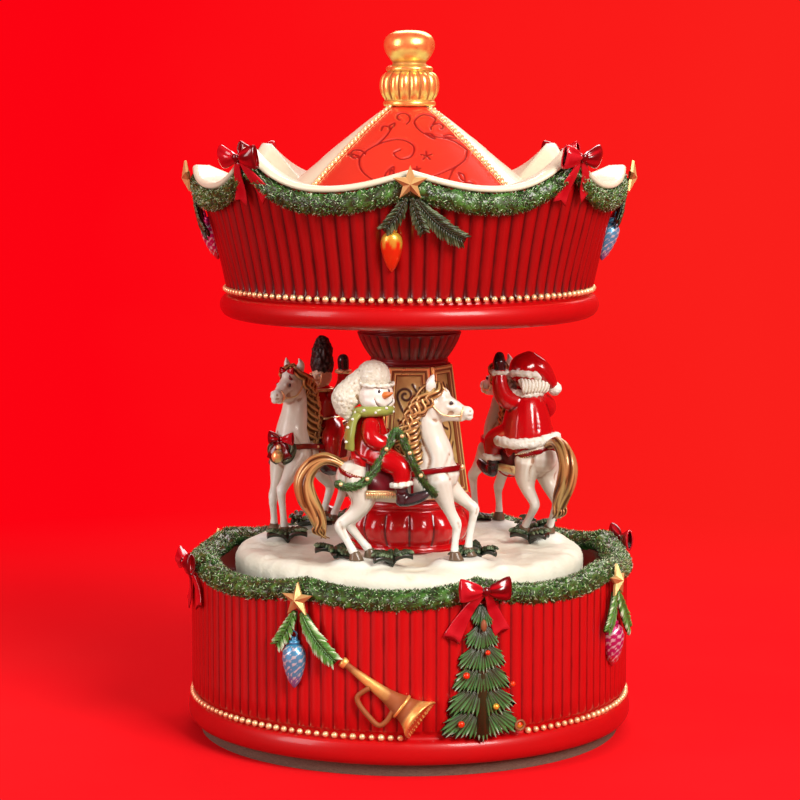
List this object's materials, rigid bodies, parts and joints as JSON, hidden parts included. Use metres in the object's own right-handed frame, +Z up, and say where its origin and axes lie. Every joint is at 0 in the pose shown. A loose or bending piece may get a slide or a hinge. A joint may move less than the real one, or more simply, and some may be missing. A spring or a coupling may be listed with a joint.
{
  "type": "carousel music box",
  "caption": "Wind-up music box whose carousel of horses and riders turns with its canopy on a fluted round base.",
  "frame": {"origin": "centre of the bottom plate's underside, on the carousel's axis, at table height", "axes": "+Z up along the carousel's axis, -Y out of the front with the fir tree and trumpet, +X to the right seen from the front"},
  "size_m": [0.1206, 0.1213, 0.18],
  "materials": {
    "fibreboard": "raw pressed board",
    "red_lacquer": "glossy red paint on cast resin with darker creases",
    "bow_red": "glossy crimson paint",
    "dark_red": "dark red paint",
    "gold_paint": "rubbed gold paint",
    "fir_green": "green paint with frosted tips",
    "bauble_glass": "pearly metallic paint",
    "snow": "off-white grained resin",
    "cream": "cream paint on cast resin",
    "horse_ivory": "ivory paint with a brown wash",
    "golden_hair": "golden brown paint with a dark wash",
    "snowman": "painted cast resin in several colours",
    "santa": "painted cast resin in several colours",
    "soldier": "painted cast resin in several colours",
    "steel": "ground steel",
    "screw_steel": "dark plated steel",
    "casting": "cast zinc",
    "brass": "polished brass"
  },
  "bodies": {
    "base": {"bottom_plate": "fibreboard", "plate_screws": "screw_steel", "base_shell": "red_lacquer", "base_beads": "gold_paint", "base_garland": "fir_green", "base_bows": "bow_red", "base_stars": "gold_paint", "base_sprigs": "fir_green", "base_baubles": "bauble_glass", "fir_tree": "fir_green", "trumpet": "gold_paint", "bedplate": "steel", "movement_screws": "screw_steel", "comb": "steel", "comb_block": "casting", "comb_screws": "screw_steel", "inner_bracket": "steel", "outer_bracket": "steel", "governor_bracket": "steel", "fan_bridge": "steel", "click_spring": "steel", "shaft_bush": "brass"},
    "cylinder": {"music_cylinder": "brass", "cylinder_gear": "brass"},
    "governor_wheel": {"governor_wheel": "brass"},
    "fan": {"worm_spindle": "steel", "air_brake": "brass"},
    "winding": {"winding_arbor": "steel", "ratchet_wheel": "brass", "winding_key": "steel"},
    "carousel": {"crown_gear": "brass", "spring_barrel": "brass", "mainspring": "steel", "output_shaft": "steel", "snow_platform": "snow", "snow_sprigs": "fir_green", "column_foot": "red_lacquer", "column": "dark_red", "column_frames": "gold_paint", "capital": "dark_red", "canopy_floor": "red_lacquer", "canopy_valance": "red_lacquer", "canopy_beads": "gold_paint", "canopy_garland": "fir_green", "canopy_bows": "bow_red", "canopy_stars": "gold_paint", "canopy_sprigs": "fir_green", "canopy_baubles": "bauble_glass", "canopy_drape": "cream", "tent_roof": "red_lacquer", "roof_ribs": "gold_paint", "finial": "gold_paint", "horses": "horse_ivory", "manes_and_tails": "golden_hair", "saddle_cloths": "dark_red", "snowman_rider": "snowman", "santa_rider": "santa", "soldier_rider": "soldier"}
  },
  "joints": [
    {"name": "carousel_turn", "type": "hinge", "parent": "base", "child": "carousel", "pos_m": [0, 0, 0], "axis": [0, 0, 1], "continuous": true},
    {"name": "cylinder_turn", "type": "hinge", "parent": "base", "child": "cylinder", "pos_m": [0, 0, 0.02046], "axis": [1, 0, 0], "continuous": true},
    {"name": "governor_turn", "type": "hinge", "parent": "base", "child": "governor_wheel", "pos_m": [0, 0.00908, 0.02046], "axis": [1, 0, 0], "continuous": true},
    {"name": "fan_turn", "type": "hinge", "parent": "base", "child": "fan", "pos_m": [0.0352, 0.01331, 0], "axis": [0, 0, 1], "continuous": true},
    {"name": "key_turn", "type": "hinge", "parent": "base", "child": "winding", "pos_m": [0, 0, 0], "axis": [0, 0, 1], "range_deg": [0, 1440]}
  ],
  "couplings": [
    {"joint": "cylinder_turn", "follows": "carousel_turn", "ratio": 3},
    {"joint": "governor_turn", "follows": "carousel_turn", "ratio": -12},
    {"joint": "fan_turn", "follows": "carousel_turn", "ratio": -240}
  ]
}
